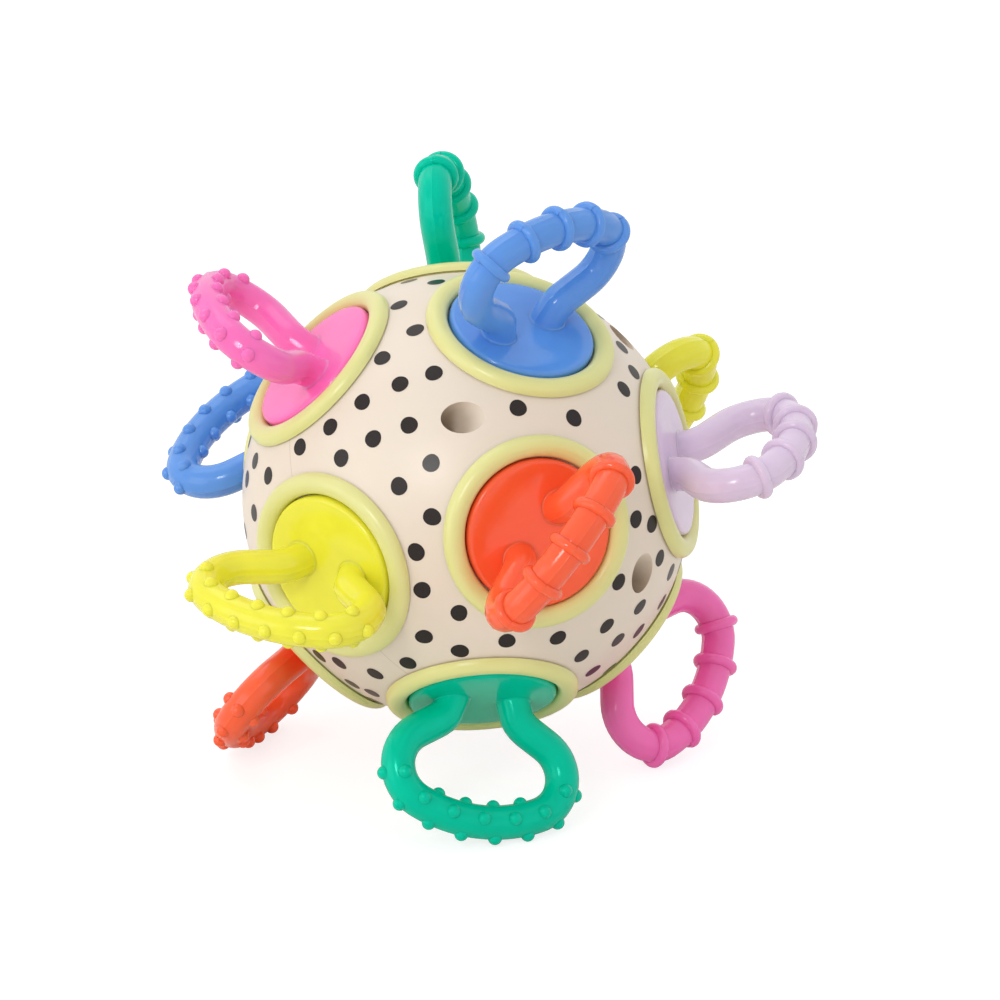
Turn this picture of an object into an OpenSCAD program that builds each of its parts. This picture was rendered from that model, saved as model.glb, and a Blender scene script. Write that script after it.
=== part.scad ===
// Sensory ball: a two-part shell with twelve soft grasping loops, each turning in its own bezel.
// The origin is the centre of the ball, and +Z is up as it stands on its loops.

/* [Shell] */
// Outer radius of the ball
shell_r = 52; // [51:0.5:60]
// Thickness of the shell's wall
shell_wall = 2.4; // [1.8:0.1:3]
// Height of the lip that lines up the two halves
lip_h = 2; // [1:0.25:3]
// Thickness of that lip
lip_wall = 1.2; // [0.8:0.1:1.6]
// Depth of the lip's root below the parting plane
lip_root = 3; // [2:0.25:4]

/* [Screw wells and posts] */
// Radius of a screw well
well_r = 3.8; // [3.4:0.1:4.4]
// Wall of a screw well
well_wall = 1.6; // [1.2:0.1:2]
// Thickness of a well's floor
well_floor = 2.5; // [2:0.25:4]
// Radius of a screw post
post_r = 4; // [3.2:0.1:4.8]

/* [Shell screws] */
// Radius of a screw's shank
screw_r = 1.45; // [1.2:0.05:1.7]
// Length of a screw's shank
screw_len = 12; // [9:0.5:16]
// Radius of a screw's head
screw_head_r = 2.8; // [2.4:0.1:3.2]
// Height of a screw's head
screw_head_h = 2; // [1.6:0.1:2.4]
// Width of the arms of the cross recess
recess_w = 0.9; // [0.6:0.1:1.2]
// Length of the cross recess
recess_len = 3.2; // [2.4:0.1:4]
// Depth of the cross recess
recess_depth = 1; // [0.6:0.1:1.4]

/* [Bezel] */
// Outer radius of a bezel
bezel_r = 22.2; // [21.8:0.1:22.6]
// Width of a bezel's visible rim
bezel_w = 4.9; // [4.8:0.1:5.1]
// Height of the rim's upright side above the shell
bezel_side = 1; // [0.8:0.1:1.8]
// Rounding of the rim's outer edge
bezel_round = 2.4; // [1.6:0.1:2.4]
// Rounding of the rim's inner edge
bezel_inner_round = 2.4; // [1:0.1:2.4]
// Height of the shadow gap under the rim's edge
shadow_gap = 0.45; // [0.3:0.05:0.6]
// Depth of that gap, inwards from the rim's edge
shadow_depth = 1.1; // [0.6:0.1:1.3]
// How far the rim overhangs the skirt
rim_overhang = 2.3; // [2:0.1:2.5]
// Wall of the skirt that passes through the shell
skirt_wall = 1.2; // [1:0.1:1.4]
// Depth of the skirt below the ledge that holds the hub
skirt_depth = 5.2; // [4.8:0.1:6]

/* [Cup] */
// Wall of the ring that grips the skirt
cup_ring_wall = 1.25; // [1:0.05:1.4]
// Thickness of the cup's floor
cup_floor = 2; // [1.6:0.1:2.4]
// Outer radius of the ring that the hub turns on
thrust_r = 17.5; // [16:0.1:18]
// Width of that ring
thrust_w = 2; // [1.4:0.1:3]
// Outer radius of the bush
bush_r = 6.5; // [5.8:0.1:7.5]
// Length of the bush below the floor
bush_len = 4; // [3:0.5:6]

/* [Hub] */
// Thickness of the hub's flange
flange_t = 2; // [1.6:0.1:2.4]
// Radius of the axle
axle_r = 4; // [3.6:0.1:4.4]
// How far the axle reaches past the bush
axle_over = 1; // [0.6:0.1:2]
// Radius of the socket for the soft plug
socket_r = 2.4; // [1.8:0.1:2.6]
// Depth of that socket
socket_depth = 9; // [6:0.5:10]

/* [Soft loop] */
// Thickness of the soft disc
disc_t = 3.2; // [2.8:0.1:4]
// How far the disc's face lies below the bezel's crown
disc_sink = 0.2; // [0:0.1:0.8]
// Rounding of the disc's edge
disc_round = 1; // [0.5:0.1:1.4]
// Radius of the loop's tube
tube_r = 3.94; // [3.5:0.02:4]
// How much slimmer the tube is in its tight bends
bend_slim = 0.04; // [0.02:0.01:0.2]
// Depth to which a foot is let into the disc
foot_sink = 0.5; // [0.3:0.1:0.8]
// Half the distance between the loop's feet
foot_half = 7.5; // [7:0.1:8.4]
// Outward slant of a foot, in degrees
foot_slant = 4; // [2:0.5:10]
// Radius of the bend above a foot
foot_bend_r = 7.6; // [6.4:0.1:8.4]
// Length of the straight stretch above that bend
leg_len = 5.4; // [4:0.2:6.6]
// Outward slant of that stretch, in degrees
leg_slant = 58.5; // [54:0.5:62]
// Radius of a shoulder's bend
shoulder_r = 9.3; // [8.6:0.1:10.4]
// Angle at which a shoulder runs into the top, in degrees
shoulder_end = 65.5; // [60:0.5:70]
// Section radius of a rib
rib_r = 1.1; // [0.9:0.05:1.3]
// How far a rib stands proud of the tube
rib_proud = 1.35; // [1:0.05:1.6]
// Distance from rib to rib along the loop
rib_pitch = 9; // [7:0.25:10]
// Radius of a bump
bump_r = 1.65; // [1.3:0.05:1.8]
// How far a bump stands proud of the tube
bump_proud = 1.3; // [0.9:0.05:1.5]
// Distance from bump to bump along the loop
bump_pitch = 7.6; // [6.5:0.1:9]

/* [Clearances] */
// Gap between pieces that are fixed together
fit_gap = 0.05; // [0.02:0.01:0.1]
// Radial gap between an axle and its bush
turn_gap = 0.05; // [0.02:0.01:0.08]
// Gap between faces that slide past each other
side_gap = 0.3; // [0.3:0.05:0.4]
// Gap between a disc's edge and its bezel
disc_gap = 0.3; // [0.3:0.05:0.6]
// Gap between a bezel's skirt and the hole in the shell
hole_gap = 0.1; // [0.05:0.05:0.2]
// Lap of one stretch of the loop's tube into the next
lap = 0.1; // [0.05:0.05:0.2]
// Overrun of a cut past the face it opens
over = 1; // [0.5:0.5:2]

/* [Hidden] */
$fn = 96;

// Attitude in which the ball stands: the pole's tilt from upright and its heading,
// then the turn of the ball about its pole, all in degrees.
pole_tilt = 55.135;
pole_heading = -40.525;
ball_turn = -86.657;

// The ports sit like the corners of a triangular orthobicupola, 60 degrees from their neighbours:
// six on the parting plane and three on each side of it, the lower three mirroring the upper.
upper_polar = acos(sqrt(2 / 3));
equator_polar = 90;
lower_polar = 180 - upper_polar;
port_step = 60;
port_offset = port_step / 2;

// Each port: polar angle, azimuth, turn of the loop as photographed, how far the soft loop leans
// out of its own plane and sways within it, colour, and whether the loop is ribbed (or else bumpy).
RED_RIBBED = [upper_polar, port_offset, 3, 7, 1, "#f6643b", true];
LAVENDER_RIBBED = [upper_polar, port_offset + 2 * port_step, 42, -1, -2, "#d6c3dc", true];
BLUE_RIBBED = [upper_polar, port_offset + 4 * port_step, 81, 0, -1, "#5590df", true];
YELLOW_BUMPY = [equator_polar, 0, 143, 3, 7, "#e2de35", false];
GREEN_BUMPY = [equator_polar, port_step, 108, 7, -4, "#11bc98", false];
PINK_RIBBED = [equator_polar, 2 * port_step, 99, 0, 0, "#f476b3", true];
YELLOW_RIBBED = [equator_polar, 3 * port_step, 153, -9, -2, "#e2de35", true];
GREEN_RIBBED = [equator_polar, 4 * port_step, 131, -3, -3, "#11bc98", true];
PINK_BUMPY = [equator_polar, 5 * port_step, 128, 11, -3, "#f476b3", false];
RED_BUMPY = [lower_polar, port_offset, 28, -5, -3, "#f6643b", false];
LAVENDER_BUMPY = [lower_polar, port_offset + 2 * port_step, 56, 0, 1, "#d6c3dc", false];
BLUE_BUMPY = [lower_polar, port_offset + 4 * port_step, 72, 6, 3, "#5590df", false];
PORTS = [
    RED_RIBBED, LAVENDER_RIBBED, BLUE_RIBBED,
    YELLOW_BUMPY, GREEN_BUMPY, PINK_RIBBED, YELLOW_RIBBED, GREEN_RIBBED, PINK_BUMPY,
    RED_BUMPY, LAVENDER_BUMPY, BLUE_BUMPY
];
EQUATOR_PORTS = [for (p = PORTS) if (p[0] == equator_polar) p];

SHELL_COLOUR = "#ede0d0";
BEZEL_COLOUR = "#ede4a3";
HUB_COLOUR = "#e8dccb";
CUP_COLOUR = "#e8dccb";
SCREW_COLOUR = "#b9bcc0";

// Shell
inner_r = shell_r - shell_wall;
lip_out_r = sqrt(pow(inner_r, 2) - pow(lip_h, 2)) - fit_gap;
well_azimuths = [90, 210, 330];
well_polar = 40;
well_lateral = shell_r * sin(well_polar);
screw_hole_r = screw_r + side_gap / 2;
pilot_r = screw_r + fit_gap;

// Heights along a port's axis, from the centre of the ball
seat_h = sqrt(pow(shell_r, 2) - pow(bezel_r, 2));
bezel_bore_r = bezel_r - bezel_w;
crown_h = seat_h + bezel_side + bezel_round;
face_h = crown_h - disc_sink;
disc_base_h = face_h - disc_t;
ledge_h = disc_base_h + side_gap;
flange_base_h = disc_base_h - flange_t;
skirt_end_h = ledge_h - skirt_depth;
cup_base_h = skirt_end_h - cup_floor;
thrust_top_h = flange_base_h - side_gap;
bush_end_h = cup_base_h - bush_len;
axle_end_h = bush_end_h - axle_over;

// Radii about a port's axis
skirt_r = bezel_r - rim_overhang;
neck_r = bezel_r - shadow_depth;
skirt_bore_r = skirt_r - skirt_wall;
hole_r = skirt_r + hole_gap;
cup_ring_bore_r = skirt_r + fit_gap;
cup_r = cup_ring_bore_r + cup_ring_wall;
flange_r = skirt_bore_r - side_gap;
disc_r = bezel_bore_r - disc_gap;
plug_r = socket_r - fit_gap;

// Loop, in its own plane: across and out from the disc's face
foot_bend_c = [foot_half + foot_bend_r * cos(foot_slant), -foot_bend_r * sin(foot_slant)];
leg_base = foot_bend_c + foot_bend_r * [-cos(leg_slant), sin(leg_slant)];
leg_top = leg_base + leg_len * [sin(leg_slant), cos(leg_slant)];
shoulder_c = leg_top + shoulder_r * [-cos(leg_slant), sin(leg_slant)];
shoulder_top = shoulder_c + shoulder_r * [cos(shoulder_end), sin(shoulder_end)];
top_r = shoulder_top[0] / cos(shoulder_end);
top_c = [0, shoulder_top[1] - top_r * sin(shoulder_end)];
foot_root = foot_sink + tube_r;
bend_tube_r = tube_r - bend_slim;
top_half_len = top_r * (90 - shoulder_end) * PI / 180;
rib_ring_r = tube_r + rib_proud - rib_r;
bump_ring_r = tube_r + bump_proud - bump_r;

// Places of the ribs and bumps along the loop, counted from the middle of its top
rib_count = 5;
outer_bumps = 8;
side_bumps = 7;
inner_bumps = 4;
function row(count, pitch) = [for (i = [0:count - 1]) (i - (count - 1) / 2) * pitch];

// Angle about the bend's centre of a place on the loop, on the top or past it on the shoulder
function on_top(s) = abs(s) <= top_half_len;
function place_angle(s) =
    on_top(s)
        ? 90 - abs(s) / top_r * 180 / PI
        : shoulder_end - (abs(s) - top_half_len) / shoulder_r * 180 / PI;

// Turns the ball as it stands
module stand() {
    rotate([0, pole_tilt, pole_heading]) rotate([0, 0, ball_turn]) children();
}

// Puts a piece on a port, with the port's axis as its Z
module at_port(p) {
    rotate([0, p[0], p[1]]) children();
}

// Puts a piece on each of the three screw lines, which run parallel to the pole
module at_wells() {
    for (a = well_azimuths) rotate([0, 0, a]) translate([well_lateral, 0, 0]) children();
}

module ring(r_out, r_in, z0, z1) {
    translate([0, 0, z0]) difference() {
        cylinder(r = r_out, h = z1 - z0);
        translate([0, 0, -over]) cylinder(r = r_in, h = z1 - z0 + 2 * over);
    }
}

// The half of space above the parting plane
module above() {
    translate([-2 * shell_r, -2 * shell_r, 0]) cube([4 * shell_r, 4 * shell_r, 2 * shell_r]);
}

module port_holes() {
    for (p = PORTS) at_port(p) translate([0, 0, skirt_end_h]) cylinder(r = hole_r, h = shell_r);
}

module hollow_ball() {
    difference() {
        sphere(r = shell_r);
        sphere(r = inner_r);
    }
}

// Upper half, with the three screw wells
module shell_upper() {
    color(SHELL_COLOUR) stand() difference() {
        union() {
            difference() {
                intersection() {
                    hollow_ball();
                    above();
                }
                port_holes();
            }
            intersection() {
                sphere(r = shell_r);
                at_wells() cylinder(r = well_r + well_wall, h = shell_r);
            }
        }
        at_wells() {
            translate([0, 0, well_floor]) cylinder(r = well_r, h = shell_r);
            translate([0, 0, -over]) cylinder(r = screw_hole_r, h = well_floor + 2 * over);
        }
    }
}

// Lip on the lower half that reaches up inside the upper half, between the ports
module register_lip() {
    lip_in_r = lip_out_r - lip_wall;
    root_r = inner_r + shell_wall / 2;
    difference() {
        rotate_extrude() polygon([
            [lip_in_r, -lip_root], [root_r, -lip_root], [root_r, 0],
            [lip_out_r, 0], [lip_out_r, lip_h], [lip_in_r, lip_h]
        ]);
        for (p = EQUATOR_PORTS)
            at_port(p) translate([0, 0, cup_base_h]) cylinder(r = cup_r + side_gap, h = shell_r);
    }
}

// Lower half, with the three screw posts and the lip
module shell_lower() {
    color(SHELL_COLOUR) stand() {
        difference() {
            union() {
                difference() {
                    union() {
                        difference() {
                            hollow_ball();
                            above();
                        }
                        register_lip();
                    }
                    port_holes();
                }
                intersection() {
                    sphere(r = inner_r + shell_wall / 2);
                    at_wells() translate([0, 0, -shell_r]) cylinder(r = post_r, h = shell_r);
                }
            }
            at_wells() translate([0, 0, -screw_len]) cylinder(r = pilot_r, h = screw_len + over);
        }
    }
}

// One self-tapping screw, its head on the well's floor
module shell_screw() {
    difference() {
        union() {
            translate([0, 0, well_floor]) intersection() {
                cylinder(r = screw_head_r, h = screw_head_h);
                translate([0, 0, screw_head_h - 2 * screw_head_r]) sphere(r = 2 * screw_head_r);
            }
            translate([0, 0, well_floor - screw_len]) cylinder(r = screw_r, h = screw_len + over);
        }
        translate([0, 0, well_floor + screw_head_h - recess_depth]) {
            translate([-recess_len / 2, -recess_w / 2, 0]) cube([recess_len, recess_w, recess_depth + over]);
            translate([-recess_w / 2, -recess_len / 2, 0]) cube([recess_w, recess_len, recess_depth + over]);
        }
    }
}

module shell_screws() {
    color(SCREW_COLOUR) stand() at_wells() shell_screw();
}

// Upper half of a round in a bezel's section
module rim_round(centre, r) {
    translate(centre) intersection() {
        circle(r = r);
        translate([-r, 0]) square([2 * r, r]);
    }
}

// Section of a bezel's rim, rounded outside and in
module rim_section() {
    outer_c = [bezel_r - bezel_round, crown_h - bezel_round];
    inner_c = [bezel_bore_r + bezel_inner_round, crown_h - bezel_inner_round];
    rim_round(outer_c, bezel_round);
    rim_round(inner_c, bezel_inner_round);
    translate([inner_c[0], ledge_h]) square([outer_c[0] - inner_c[0], crown_h - ledge_h]);
    translate([bezel_bore_r, ledge_h]) square([inner_c[0] - bezel_bore_r, inner_c[1] - ledge_h]);
    translate([outer_c[0], skirt_end_h]) square([bezel_round, outer_c[1] - skirt_end_h]);
}

// Bezel: a rounded rim on the shell, with a skirt through the hole
module bezel(p) {
    color(BEZEL_COLOUR) stand() at_port(p) {
        difference() {
            rotate_extrude() rim_section();
            difference() {
                sphere(r = shell_r);
                cylinder(r = skirt_r, h = shell_r);
            }
            difference() {
                sphere(r = shell_r + shadow_gap);
                cylinder(r = neck_r, h = 2 * shell_r);
            }
        }
        ring(skirt_r, skirt_bore_r, skirt_end_h, ledge_h);
    }
}

// Cup: grips the skirt from inside, clamps the shell and carries the hub's axle
module cup(p) {
    color(CUP_COLOUR) stand() at_port(p) {
        intersection() {
            ring(cup_r, cup_ring_bore_r, cup_base_h, shell_r);
            sphere(r = inner_r - fit_gap);
        }
        ring(thrust_r, thrust_r - thrust_w, cup_base_h, thrust_top_h);
        difference() {
            union() {
                translate([0, 0, cup_base_h]) cylinder(r = cup_r, h = cup_floor - fit_gap);
                translate([0, 0, bush_end_h]) cylinder(r = bush_r, h = bush_len);
            }
            translate([0, 0, bush_end_h - over])
                cylinder(r = axle_r + turn_gap, h = bush_len + cup_floor + 2 * over);
        }
    }
}

// Hub: rigid flange and axle under the soft disc, held in by the bezel's ledge
module hub(p) {
    color(HUB_COLOUR) stand() at_port(p) difference() {
        union() {
            translate([0, 0, flange_base_h]) cylinder(r = flange_r, h = flange_t);
            translate([0, 0, axle_end_h]) cylinder(r = axle_r, h = disc_base_h - axle_end_h);
        }
        translate([0, 0, disc_base_h - socket_depth]) cylinder(r = socket_r, h = socket_depth + over);
    }
}

// Soft disc with a rounded edge, and the plug that fills the hub's socket
module soft_disc() {
    round_c = [disc_r - disc_round, face_h - disc_round];
    rotate_extrude() {
        translate([0, disc_base_h]) square([round_c[0], disc_t]);
        translate([0, disc_base_h]) square([disc_r, disc_t - disc_round]);
        translate(round_c) circle(r = disc_round);
    }
    translate([0, 0, disc_base_h - socket_depth + fit_gap]) cylinder(r = plug_r, h = socket_depth);
}

// Foot, leaned with the loop and cut off level inside the disc
module foot(lean, sway) {
    intersection() {
        rotate([lean, sway, 0]) translate([foot_half, 0, 0]) rotate([0, foot_slant, 0])
            translate([0, 0, -foot_root]) cylinder(r = tube_r, h = foot_root + lap);
        translate([0, 0, -foot_sink]) cylinder(r = shell_r, h = shell_r);
    }
}

module foot_bend() {
    translate([foot_bend_c[0], 0, foot_bend_c[1]]) rotate([90, 0, 0])
        rotate_extrude(angle = leg_slant - foot_slant, start = 180 - leg_slant)
            translate([foot_bend_r, 0]) circle(r = bend_tube_r);
}

module leg() {
    translate([leg_base[0], 0, leg_base[1]]) rotate([0, leg_slant, 0])
        translate([0, 0, -lap]) cylinder(r = tube_r, h = leg_len + 2 * lap);
}

module shoulder() {
    translate([shoulder_c[0], 0, shoulder_c[1]]) rotate([90, 0, 0])
        rotate_extrude(angle = leg_slant + shoulder_end, start = -leg_slant)
            translate([shoulder_r, 0]) circle(r = bend_tube_r);
}

module top_tube() {
    lap_angle = lap / top_r * 180 / PI;
    translate([0, 0, top_c[1]]) rotate([90, 0, 0])
        rotate_extrude(angle = 180 - 2 * shoulder_end + 2 * lap_angle, start = shoulder_end - lap_angle)
            translate([top_r, 0]) circle(r = tube_r);
}

// Puts a piece on the loop, with X outwards across the tube and Z along it
module along_loop(s) {
    c = on_top(s) ? top_c : shoulder_c;
    r = on_top(s) ? top_r : shoulder_r;
    mirror([s < 0 ? 1 : 0, 0, 0])
        translate([c[0], 0, c[1]]) rotate([0, -place_angle(s), 0]) translate([r, 0, 0]) children();
}

module rib() {
    rotate_extrude() translate([rib_ring_r, 0]) circle(r = rib_r);
}

module bump_row(count, side) {
    for (s = row(count, bump_pitch))
        along_loop(s) rotate([0, 0, side]) translate([bump_ring_r, 0, 0]) sphere(r = bump_r);
}

module ribs() {
    for (s = row(rib_count, rib_pitch)) along_loop(s) rib();
}

module bumps() {
    bump_row(outer_bumps, 0);
    bump_row(side_bumps, 90);
    bump_row(inner_bumps, 180);
    bump_row(side_bumps, 270);
}

// Soft loop: disc, plug and handle in one moulding
module soft_loop(p) {
    color(p[5]) stand() at_port(p) rotate([0, 0, p[2]]) {
        soft_disc();
        translate([0, 0, face_h]) {
            foot(p[3], p[4]);
            mirror([1, 0, 0]) foot(p[3], -p[4]);
            rotate([p[3], p[4], 0]) {
                for (side = [0, 1]) mirror([side, 0, 0]) {
                    foot_bend();
                    leg();
                    shoulder();
                }
                top_tube();
                if (p[6]) ribs();
                else bumps();
            }
        }
    }
}

shell_upper();
shell_lower();
shell_screws();

soft_loop(RED_RIBBED);  // red_ribbed_loop
hub(RED_RIBBED);  // red_ribbed_hub
bezel(RED_RIBBED);  // red_ribbed_bezel
cup(RED_RIBBED);  // red_ribbed_cup

soft_loop(LAVENDER_RIBBED);  // lavender_ribbed_loop
hub(LAVENDER_RIBBED);  // lavender_ribbed_hub
bezel(LAVENDER_RIBBED);  // lavender_ribbed_bezel
cup(LAVENDER_RIBBED);  // lavender_ribbed_cup

soft_loop(BLUE_RIBBED);  // blue_ribbed_loop
hub(BLUE_RIBBED);  // blue_ribbed_hub
bezel(BLUE_RIBBED);  // blue_ribbed_bezel
cup(BLUE_RIBBED);  // blue_ribbed_cup

soft_loop(YELLOW_BUMPY);  // yellow_bumpy_loop
hub(YELLOW_BUMPY);  // yellow_bumpy_hub
bezel(YELLOW_BUMPY);  // yellow_bumpy_bezel
cup(YELLOW_BUMPY);  // yellow_bumpy_cup

soft_loop(GREEN_BUMPY);  // green_bumpy_loop
hub(GREEN_BUMPY);  // green_bumpy_hub
bezel(GREEN_BUMPY);  // green_bumpy_bezel
cup(GREEN_BUMPY);  // green_bumpy_cup

soft_loop(PINK_RIBBED);  // pink_ribbed_loop
hub(PINK_RIBBED);  // pink_ribbed_hub
bezel(PINK_RIBBED);  // pink_ribbed_bezel
cup(PINK_RIBBED);  // pink_ribbed_cup

soft_loop(YELLOW_RIBBED);  // yellow_ribbed_loop
hub(YELLOW_RIBBED);  // yellow_ribbed_hub
bezel(YELLOW_RIBBED);  // yellow_ribbed_bezel
cup(YELLOW_RIBBED);  // yellow_ribbed_cup

soft_loop(GREEN_RIBBED);  // green_ribbed_loop
hub(GREEN_RIBBED);  // green_ribbed_hub
bezel(GREEN_RIBBED);  // green_ribbed_bezel
cup(GREEN_RIBBED);  // green_ribbed_cup

soft_loop(PINK_BUMPY);  // pink_bumpy_loop
hub(PINK_BUMPY);  // pink_bumpy_hub
bezel(PINK_BUMPY);  // pink_bumpy_bezel
cup(PINK_BUMPY);  // pink_bumpy_cup

soft_loop(RED_BUMPY);  // red_bumpy_loop
hub(RED_BUMPY);  // red_bumpy_hub
bezel(RED_BUMPY);  // red_bumpy_bezel
cup(RED_BUMPY);  // red_bumpy_cup

soft_loop(LAVENDER_BUMPY);  // lavender_bumpy_loop
hub(LAVENDER_BUMPY);  // lavender_bumpy_hub
bezel(LAVENDER_BUMPY);  // lavender_bumpy_bezel
cup(LAVENDER_BUMPY);  // lavender_bumpy_cup

soft_loop(BLUE_BUMPY);  // blue_bumpy_loop
hub(BLUE_BUMPY);  // blue_bumpy_hub
bezel(BLUE_BUMPY);  // blue_bumpy_bezel
cup(BLUE_BUMPY);  // blue_bumpy_cup
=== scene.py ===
"""Sensory ball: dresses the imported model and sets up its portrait.

The ball is a two-part shell with printed dots. Twelve soft loops stand in pale lime rims.
Lengths in the classes are millimetres, and a finished piece's mesh is in metres.
"""

import logging
import math
import random
from dataclasses import dataclass, field
from enum import Enum
from itertools import pairwise
from typing import Any

import bmesh
import bpy
from mathutils import Matrix, Vector


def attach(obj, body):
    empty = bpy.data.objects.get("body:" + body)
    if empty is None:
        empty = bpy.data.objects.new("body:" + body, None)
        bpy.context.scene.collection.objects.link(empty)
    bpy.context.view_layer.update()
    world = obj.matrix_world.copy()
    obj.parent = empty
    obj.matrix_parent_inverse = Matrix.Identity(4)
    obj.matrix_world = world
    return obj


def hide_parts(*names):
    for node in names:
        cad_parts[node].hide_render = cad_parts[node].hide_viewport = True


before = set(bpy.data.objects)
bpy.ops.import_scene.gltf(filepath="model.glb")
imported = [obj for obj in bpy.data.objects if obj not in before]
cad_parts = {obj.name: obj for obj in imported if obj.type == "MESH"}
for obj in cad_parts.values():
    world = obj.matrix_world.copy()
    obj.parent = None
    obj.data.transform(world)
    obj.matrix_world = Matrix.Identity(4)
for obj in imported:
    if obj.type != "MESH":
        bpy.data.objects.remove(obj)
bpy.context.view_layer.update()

MM = 0.001
GRAIN_DEPTH_MM = 0.1
MERGE_MM = 1e-4
ROOT_BODY = "ball"
WHITE = "#ffffff"
log = logging.getLogger("sensory_ball")


class Relief(Enum):
    """What stands proud of a loop's tube."""

    RIBS = "ribbed"
    BUMPS = "bumpy"


class Soft(Enum):
    """Colours of the soft mouldings, as sRGB hex."""

    RED = "#fe6237"
    LAVENDER = "#dfcbe3"
    BLUE = "#5c97e2"
    YELLOW = "#ede83e"
    GREEN = "#00c6a4"
    PINK = "#fb72bd"


def linear(hex_colour: str) -> tuple[float, float, float, float]:
    """Turns an sRGB hex colour into a linear one.

    Args:
        hex_colour: The colour, such as "#ede0d0".

    Returns:
        Red, green, blue and an alpha of 1.
    """
    parts = [int(hex_colour[i : i + 2], 16) / 255 for i in (1, 3, 5)]
    red, green, blue = (c / 12.92 if c <= 0.04045 else ((c + 0.055) / 1.055) ** 2.4 for c in parts)
    return red, green, blue, 1.0


def add_node(
    tree: bpy.types.NodeTree,
    kind: str,
    props: dict[str, Any] | None = None,
    values: dict[str, Any] | None = None,
    links: dict[str, bpy.types.NodeSocket] | None = None,
) -> bpy.types.Node:
    """Adds one node with its settings and links.

    Args:
        tree: The node tree.
        kind: The node's type, such as "ShaderNodeTexNoise".
        props: The node's own settings.
        values: Constants for its input sockets, by socket name.
        links: Output sockets to link to its inputs, by socket name.

    Returns:
        The new node.
    """
    node = tree.nodes.new(kind)
    for name, value in (props or {}).items():
        setattr(node, name, value)
    for name, value in (values or {}).items():
        node.inputs[name].default_value = value
    for name, socket in (links or {}).items():
        tree.links.new(socket, node.inputs[name])
    return node


def turned(axis: str, degrees: float) -> Matrix:
    """Gives a rotation matrix.

    Args:
        axis: "X", "Y" or "Z".
        degrees: The angle.

    Returns:
        A 4 by 4 matrix.
    """
    return Matrix.Rotation(math.radians(degrees), 4, axis)


@dataclass(frozen=True)
class Stance:
    """How the ball stands: the tilt and heading of its pole and its turn about it, in degrees."""

    pole_tilt: float = 55.135
    pole_heading: float = -40.525
    ball_turn: float = -86.657

    def matrix(self) -> Matrix:
        """Gives the turn from the ball's own frame to the row's frame."""
        return turned("Z", self.pole_heading) @ turned("Y", self.pole_tilt) @ turned("Z", self.ball_turn)


@dataclass(frozen=True)
class ShellSizes:
    """Sizes of the shell and of what stands on a port's axis."""

    shell_r: float = 52.0
    bezel_r: float = 22.2
    bezel_side: float = 1.0
    bezel_round: float = 2.4
    disc_sink: float = 0.2
    disc_r: float = 17.0
    disc_t: float = 3.2
    well_polar: float = 40.0
    well_azimuths: tuple[float, ...] = (90, 210, 330)

    def crown_h(self) -> float:
        """Gives the height of a bezel's crown above the ball's centre."""
        return math.sqrt(self.shell_r**2 - self.bezel_r**2) + self.bezel_side + self.bezel_round

    def face_h(self) -> float:
        """Gives the height of a soft disc's face above the ball's centre."""
        return self.crown_h() - self.disc_sink


@dataclass(frozen=True)
class Port:
    """One of the twelve places where a loop sits, with the loop as photographed."""

    name: str
    polar: float
    azimuth: float
    spin: float
    lean: float
    sway: float
    colour: Soft
    relief: Relief

    def matrix(self, stance: Stance) -> Matrix:
        """Gives the turn from the port's frame, its axis along Z, to the row's frame.

        Args:
            stance: How the ball stands.

        Returns:
            A 4 by 4 matrix.
        """
        return stance.matrix() @ turned("Z", self.azimuth) @ turned("Y", self.polar)

    def slant(self) -> Matrix:
        """Gives the soft loop's lean out of its own plane and its sway within it."""
        return turned("Y", self.sway) @ turned("X", self.lean)


UPPER = math.degrees(math.acos(math.sqrt(2 / 3)))
LOWER = 180 - UPPER
PORTS = (
    Port("red_ribbed", UPPER, 30, 3, 7, 1, Soft.RED, Relief.RIBS),
    Port("lavender_ribbed", UPPER, 150, 42, -1, -2, Soft.LAVENDER, Relief.RIBS),
    Port("blue_ribbed", UPPER, 270, 81, 0, -1, Soft.BLUE, Relief.RIBS),
    Port("yellow_bumpy", 90, 0, 143, 3, 7, Soft.YELLOW, Relief.BUMPS),
    Port("green_bumpy", 90, 60, 108, 7, -4, Soft.GREEN, Relief.BUMPS),
    Port("pink_ribbed", 90, 120, 99, 0, 0, Soft.PINK, Relief.RIBS),
    Port("yellow_ribbed", 90, 180, 153, -9, -2, Soft.YELLOW, Relief.RIBS),
    Port("green_ribbed", 90, 240, 131, -3, -3, Soft.GREEN, Relief.RIBS),
    Port("pink_bumpy", 90, 300, 128, 11, -3, Soft.PINK, Relief.BUMPS),
    Port("red_bumpy", LOWER, 30, 28, -5, -3, Soft.RED, Relief.BUMPS),
    Port("lavender_bumpy", LOWER, 150, 56, 0, 1, Soft.LAVENDER, Relief.BUMPS),
    Port("blue_bumpy", LOWER, 270, 72, 6, 3, Soft.BLUE, Relief.BUMPS),
)


# Finishes


def blank_material(
    name: str, values: dict[str, Any]
) -> tuple[bpy.types.Material, bpy.types.NodeTree, bpy.types.Node]:
    """Makes a node material that holds only a linked Principled shader.

    Args:
        name: The material's name.
        values: Constants for the shader's inputs, by socket name.

    Returns:
        The material, its node tree and the shader node.
    """
    made = bpy.data.materials.new(name)
    made.use_nodes = True
    tree = made.node_tree
    tree.nodes.clear()
    shader = add_node(tree, "ShaderNodeBsdfPrincipled", values=values)
    add_node(tree, "ShaderNodeOutputMaterial", links={"Surface": shader.outputs["BSDF"]})
    return made, tree, shader


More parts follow.
